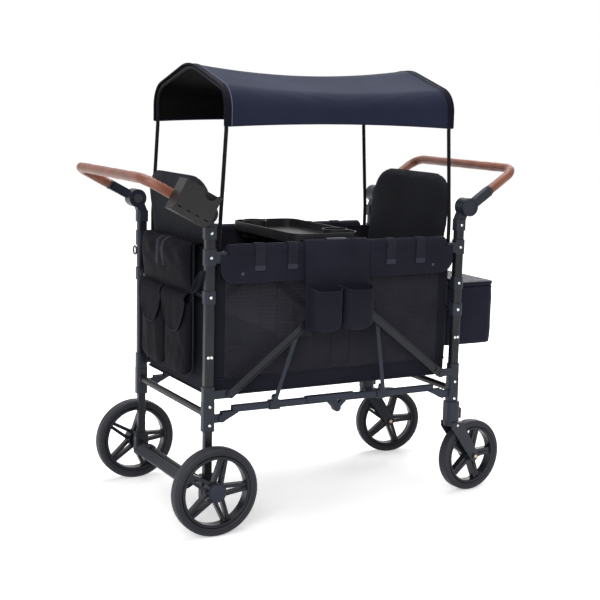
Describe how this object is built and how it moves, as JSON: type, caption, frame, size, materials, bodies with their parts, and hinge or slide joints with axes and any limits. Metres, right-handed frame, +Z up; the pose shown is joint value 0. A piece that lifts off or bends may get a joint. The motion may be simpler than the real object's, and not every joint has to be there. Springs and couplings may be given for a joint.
{
  "type": "stroller wagon",
  "caption": "Folding stroller wagon with facing benches in a fabric basket, arched canopy on hoops, tilting push handles, casters, tray, organiser and cooler bag.",
  "frame": {"origin": "on the floor, under the middle of the wagon's outer box", "axes": "+X towards the caster end, +Y to the left side, +Z up"},
  "size_m": [1.35, 0.7198, 1.4115],
  "materials": {
    "frame_metal": "satin",
    "blue_metal": "satin",
    "dark_plastic": "satin",
    "steel": "brushed",
    "leather": "smooth",
    "tyre": "matte",
    "rim": "satin",
    "basket_fabric": "woven",
    "canopy_fabric": "woven",
    "seat_fabric": "quilted",
    "cooler_fabric": "woven",
    "console_plastic": "satin",
    "tray_plastic": "satin"
  },
  "bodies": {
    "rear_frame": {"rear_posts": "frame_metal", "rear_legs": "frame_metal", "rear_leg_sleeves": "dark_plastic", "rear_cross_tubes": "frame_metal", "rear_post_brackets": "dark_plastic", "rear_knuckle_hubs": "dark_plastic", "rear_axle": "frame_metal", "rear_rivets": "steel", "basket": "basket_fabric", "side_rail_pads": "basket_fabric", "side_flaps": "basket_fabric", "rear_pouch": "basket_fabric", "rear_seat_pad": "seat_fabric", "rear_seat_back": "seat_fabric", "organiser": "basket_fabric"},
    "front_frame": {"front_posts": "frame_metal", "caster_housings": "dark_plastic", "front_cross_tubes": "frame_metal", "front_post_brackets": "dark_plastic", "front_knuckle_hubs": "dark_plastic", "front_rivets": "steel", "front_seat_pad": "seat_fabric", "front_seat_back": "seat_fabric", "cooler_bag": "cooler_fabric"},
    "cooler_lid": {"cooler_lid": "cooler_fabric"},
    "rear_rails": {"rear_bottom_rails": "blue_metal"},
    "front_rails": {"front_bottom_rails": "blue_metal"},
    "rear_shoes": {"rear_shoes": "dark_plastic"},
    "front_shoes": {"front_shoes": "dark_plastic"},
    "rear_diagonals": {"rear_diagonals": "frame_metal"},
    "front_diagonals": {"front_diagonals": "frame_metal"},
    "rear_struts": {"rear_struts": "blue_metal"},
    "front_struts": {"front_struts": "blue_metal"},
    "rear_wheel_left": {"rear_tyre_left": "tyre", "rear_rim_left": "rim"},
    "rear_wheel_right": {"rear_tyre_right": "tyre", "rear_rim_right": "rim"},
    "caster_left": {"caster_fork_left": "blue_metal"},
    "caster_right": {"caster_fork_right": "blue_metal"},
    "front_wheel_left": {"front_tyre_left": "tyre", "front_rim_left": "rim"},
    "front_wheel_right": {"front_tyre_right": "tyre", "front_rim_right": "rim"},
    "caster_lock_left": {"caster_lock_left": "dark_plastic"},
    "caster_lock_right": {"caster_lock_right": "dark_plastic"},
    "rear_handle": {"rear_handle_frame": "dark_plastic", "rear_handle_grip": "leather", "console": "console_plastic"},
    "front_handle": {"front_handle_frame": "dark_plastic", "front_handle_grip": "leather"},
    "rear_button_left": {"rear_button_left": "dark_plastic"},
    "rear_button_right": {"rear_button_right": "dark_plastic"},
    "front_button_left": {"front_button_left": "dark_plastic"},
    "front_button_right": {"front_button_right": "dark_plastic"},
    "brake": {"brake_pedal": "dark_plastic"},
    "canopy_rear": {"canopy_rear_hoop": "frame_metal", "canopy_cover": "canopy_fabric"},
    "canopy_front": {"canopy_front_hoop": "frame_metal"},
    "tray_clips": {"tray_clips": "dark_plastic"},
    "snack_tray": {"snack_tray": "tray_plastic"}
  },
  "joints": [
    {"name": "fold", "type": "hinge", "parent": "rear_frame", "child": "rear_rails", "pos_m": [-0.405, 0, 0.346], "axis": [0, -1, 0], "range_deg": [0, 70], "deforming": ["basket", "side_rail_pads", "side_flaps", "rear_seat_pad", "organiser", "canopy_cover", "front_seat_pad"]},
    {"name": "fold_middle", "type": "hinge", "parent": "rear_rails", "child": "front_rails", "pos_m": [0, 0, 0.34], "axis": [0, -1, 0], "range_deg": [-141, 1]},
    {"name": "fold_front", "type": "hinge", "parent": "front_rails", "child": "front_frame", "pos_m": [0.405, 0, 0.346], "axis": [0, -1, 0], "range_deg": [-1, 71]},
    {"name": "rear_diagonal_swing", "type": "hinge", "parent": "rear_frame", "child": "rear_diagonals", "pos_m": [-0.383, 0, 0.423], "axis": [0, -1, 0], "range_deg": [-1, 38.39]},
    {"name": "front_diagonal_swing", "type": "hinge", "parent": "front_frame", "child": "front_diagonals", "pos_m": [0.383, 0, 0.423], "axis": [0, 1, 0], "range_deg": [-1, 38.39]},
    {"name": "rear_strut_swing", "type": "hinge", "parent": "rear_diagonals", "child": "rear_struts", "pos_m": [-0.15234, 0, 0.60368], "axis": [0, -1, 0], "range_deg": [-43.39, 1]},
    {"name": "front_strut_swing", "type": "hinge", "parent": "front_diagonals", "child": "front_struts", "pos_m": [0.13423, 0, 0.61786], "axis": [0, 1, 0], "range_deg": [-54.14, 1]},
    {"name": "rear_shoe_slide", "type": "slide", "parent": "rear_rails", "child": "rear_shoes", "axis": [-1, 0, 0], "range_m": [-0.001, 0.03]},
    {"name": "front_shoe_slide", "type": "slide", "parent": "front_rails", "child": "front_shoes", "axis": [1, 0, 0], "range_m": [-0.001, 0.072]},
    {"name": "tray_clip_slide", "type": "slide", "parent": "rear_frame", "child": "tray_clips", "axis": [-1, 0, 0], "range_m": [-0.001, 0.243]},
    {"name": "tray_lift", "type": "slide", "parent": "tray_clips", "child": "snack_tray", "axis": [0, 0, 1], "range_m": [0, 0.25]},
    {"name": "rear_wheel_spin_left", "type": "hinge", "parent": "rear_frame", "child": "rear_wheel_left", "pos_m": [-0.45, 0.33, 0.137], "axis": [0, 1, 0], "continuous": true},
    {"name": "rear_wheel_spin_right", "type": "hinge", "parent": "rear_frame", "child": "rear_wheel_right", "pos_m": [-0.45, -0.33, 0.137], "axis": [0, 1, 0], "continuous": true},
    {"name": "caster_swivel_left", "type": "hinge", "parent": "front_frame", "child": "caster_left", "pos_m": [0.45, 0.272, 0.24], "axis": [0, 0, 1], "continuous": true},
    {"name": "front_wheel_spin_left", "type": "hinge", "parent": "caster_left", "child": "front_wheel_left", "pos_m": [0.53608, 0.2537, 0.121], "axis": [0.2079, 0.9781, 0], "continuous": true},
    {"name": "caster_lock_left", "type": "slide", "parent": "front_frame", "child": "caster_lock_left", "axis": [0, 0, -1], "range_m": [0, 0.007]},
    {"name": "caster_swivel_right", "type": "hinge", "parent": "front_frame", "child": "caster_right", "pos_m": [0.45, -0.272, 0.24], "axis": [0, 0, 1], "continuous": true},
    {"name": "front_wheel_spin_right", "type": "hinge", "parent": "caster_right", "child": "front_wheel_right", "pos_m": [0.53752, -0.2628, 0.121], "axis": [-0.1045, 0.9945, 0], "continuous": true},
    {"name": "caster_lock_right", "type": "slide", "parent": "front_frame", "child": "caster_lock_right", "axis": [0, 0, -1], "range_m": [0, 0.007]},
    {"name": "rear_handle_tilt", "type": "hinge", "parent": "rear_frame", "child": "rear_handle", "pos_m": [-0.469, 0, 0.973], "axis": [0, 1, 0], "range_deg": [-95, 60]},
    {"name": "front_handle_tilt", "type": "hinge", "parent": "front_frame", "child": "front_handle", "pos_m": [0.469, 0, 0.973], "axis": [0, -1, 0], "range_deg": [-95, 55]},
    {"name": "rear_button_left", "type": "slide", "parent": "rear_frame", "child": "rear_button_left", "axis": [0, 1, 0], "range_m": [0, 0.004], "stiffness_N_per_m": 800},
    {"name": "rear_button_right", "type": "slide", "parent": "rear_frame", "child": "rear_button_right", "axis": [0, -1, 0], "range_m": [0, 0.004], "stiffness_N_per_m": 800},
    {"name": "front_button_left", "type": "slide", "parent": "front_frame", "child": "front_button_left", "axis": [0, 1, 0], "range_m": [0, 0.004], "stiffness_N_per_m": 800},
    {"name": "front_button_right", "type": "slide", "parent": "front_frame", "child": "front_button_right", "axis": [0, -1, 0], "range_m": [0, 0.004], "stiffness_N_per_m": 800},
    {"name": "brake_press", "type": "hinge", "parent": "rear_frame", "child": "brake", "pos_m": [-0.45, 0, 0.137], "axis": [0, -1, 0], "range_deg": [0, 18]},
    {"name": "canopy_raise", "type": "slide", "parent": "rear_frame", "child": "canopy_rear", "axis": [0, 0, 1], "range_m": [0, 0.06]},
    {"name": "canopy_raise_front", "type": "slide", "parent": "front_frame", "child": "canopy_front", "axis": [0, 0, 1], "range_m": [0, 0.06]},
    {"name": "cooler_lid", "type": "hinge", "parent": "front_frame", "child": "cooler_lid", "pos_m": [0.4655, 0, 0.7084], "axis": [0, -1, 0], "range_deg": [0, 85]}
  ],
  "couplings": [
    {"joint": "fold_middle", "follows": "fold", "ratio": -2},
    {"joint": "fold_front", "follows": "fold", "ratio": 1},
    {"joint": "rear_diagonal_swing", "follows": "fold", "ratio": 0.5341},
    {"joint": "front_diagonal_swing", "follows": "fold", "ratio": 0.5341},
    {"joint": "rear_strut_swing", "follows": "fold", "ratio": -0.6056},
    {"joint": "front_strut_swing", "follows": "fold", "ratio": -0.7592},
    {"joint": "rear_shoe_slide", "follows": "fold", "m_per_rad": 0.0228},
    {"joint": "front_shoe_slide", "follows": "fold", "m_per_rad": 0.05654},
    {"joint": "tray_clip_slide", "follows": "fold", "m_per_rad": 0.1973},
    {"joint": "canopy_raise_front", "follows": "canopy_raise", "ratio": 1}
  ]
}
